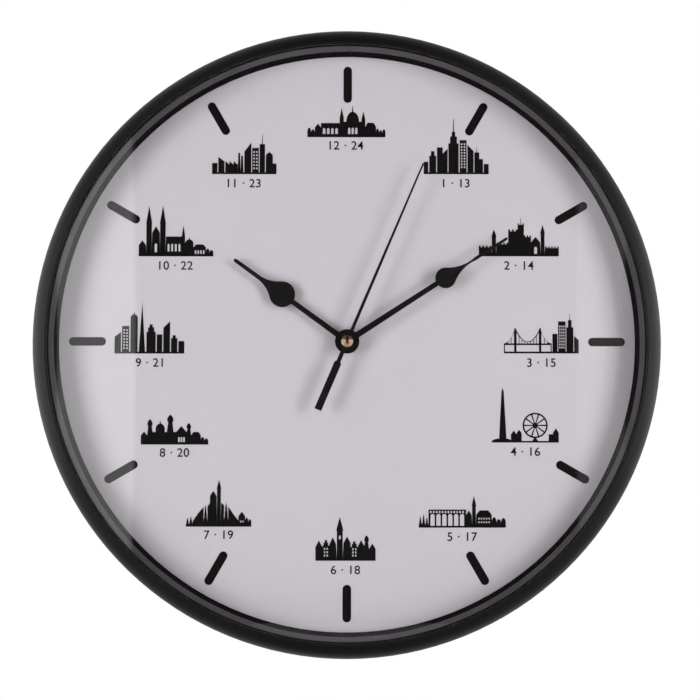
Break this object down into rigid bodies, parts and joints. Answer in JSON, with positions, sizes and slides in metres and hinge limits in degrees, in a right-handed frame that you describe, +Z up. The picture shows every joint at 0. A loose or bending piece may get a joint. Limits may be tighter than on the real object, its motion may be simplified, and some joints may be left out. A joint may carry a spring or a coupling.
{
  "type": "wall clock",
  "caption": "Round quartz wall clock with a black case ring, flat glass, pale printed dial, spade hands, geared movement with a battery and a keyhole hanger at the rear.",
  "frame": {"origin": "centre of the keyhole's entry hole, in the plane of the rear rim that lies against the wall", "axes": "+Z up, +X to the viewer's right, -Y out of the wall towards the viewer, whom the dial faces"},
  "size_m": [0.3, 0.04, 0.3],
  "materials": {
    "case_black": "satin moulded black",
    "clear_glass": "flat float glass",
    "ring_black": "satin black strip",
    "dial_print": "pale matt print",
    "ink_black": "printed black",
    "hand_black": "satin black paint",
    "cap_brass": "polished",
    "plate_black": "fine texture",
    "screw_steel": "zinc plated",
    "movement_black": "moulded",
    "nut_brass": "turned",
    "gear_white": "moulded",
    "gear_red": "moulded",
    "knob_grey": "moulded",
    "magnet_grey": "ground ferrite",
    "iron": "stamped sheet",
    "copper_wire": "enamelled wire",
    "board_brown": "phenolic board",
    "chip_black": "potting drop",
    "crystal_can": "drawn can",
    "cell_jacket": "plain film jacket",
    "contact_steel": "nickel plated"
  },
  "bodies": {
    "case": {"case_ring": "case_black", "glass": "clear_glass", "inner_ring": "ring_black", "dial": "dial_print", "hour_marks": "ink_black", "back_plate": "plate_black", "back_plate_screws": "screw_steel", "movement_front_case": "movement_black", "movement_rear_case": "movement_black", "bush_washer": "nut_brass", "bush_nut": "nut_brass", "gear_bridge": "movement_black", "stator": "iron", "coil_core": "iron", "coil_bobbin": "gear_white", "coil_winding": "copper_wire", "circuit_board": "board_brown", "circuit_chip": "chip_black", "quartz_crystal": "crystal_can", "negative_contact": "contact_steel", "positive_contact": "contact_steel"},
    "seconds_group": {"seconds_wheel": "gear_red", "seconds_hand": "hand_black", "hand_cap": "cap_brass"},
    "intermediate_group": {"intermediate_wheel": "gear_white"},
    "rotor_group": {"rotor_pinion": "gear_white", "rotor_magnet": "magnet_grey"},
    "third_group": {"third_wheel": "gear_white"},
    "minute_wheel_group": {"minute_wheel": "gear_white", "friction_spring": "contact_steel"},
    "minute_group": {"minute_arbor": "gear_white", "minute_hand": "hand_black"},
    "setting_group": {"setting_wheel": "gear_white", "setting_knob": "knob_grey"},
    "hour_group": {"hour_wheel": "gear_white", "hour_hand": "hand_black"},
    "battery_group": {"battery_cell": "cell_jacket", "battery_terminal": "contact_steel"}
  },
  "joints": [
    {"name": "seconds_spin", "type": "hinge", "parent": "case", "child": "seconds_group", "pos_m": [0, 0, -0.112], "axis": [0, 1, 0], "continuous": true},
    {"name": "intermediate_spin", "type": "hinge", "parent": "case", "child": "intermediate_group", "pos_m": [0.00672, 0, -0.10528], "axis": [0, 1, 0], "continuous": true},
    {"name": "rotor_spin", "type": "hinge", "parent": "case", "child": "rotor_group", "pos_m": [0.0133, 0, -0.10289], "axis": [0, 1, 0], "continuous": true},
    {"name": "third_spin", "type": "hinge", "parent": "case", "child": "third_group", "pos_m": [-0.00893, 0, -0.10875], "axis": [0, 1, 0], "continuous": true},
    {"name": "minute_wheel_spin", "type": "hinge", "parent": "case", "child": "minute_wheel_group", "pos_m": [0, 0, -0.112], "axis": [0, 1, 0], "continuous": true},
    {"name": "minute_spin", "type": "hinge", "parent": "case", "child": "minute_group", "pos_m": [0, 0, -0.112], "axis": [0, 1, 0], "continuous": true},
    {"name": "setting_spin", "type": "hinge", "parent": "case", "child": "setting_group", "pos_m": [0.01046, 0, -0.11292], "axis": [0, 1, 0], "continuous": true},
    {"name": "hour_spin", "type": "hinge", "parent": "case", "child": "hour_group", "pos_m": [0, 0, -0.112], "axis": [0, 1, 0], "continuous": true},
    {"name": "battery_slide", "type": "slide", "parent": "case", "child": "battery_group", "axis": [0, 1, 0], "range_m": [0, 0.02]}
  ],
  "couplings": [
    {"joint": "intermediate_spin", "follows": "seconds_spin", "ratio": -5},
    {"joint": "rotor_spin", "follows": "seconds_spin", "ratio": 30},
    {"joint": "third_spin", "follows": "seconds_spin", "ratio": -0.13333},
    {"joint": "minute_wheel_spin", "follows": "seconds_spin", "ratio": 0.016667},
    {"joint": "setting_spin", "follows": "minute_spin", "ratio": -0.33333},
    {"joint": "hour_spin", "follows": "minute_spin", "ratio": 0.083333}
  ]
}
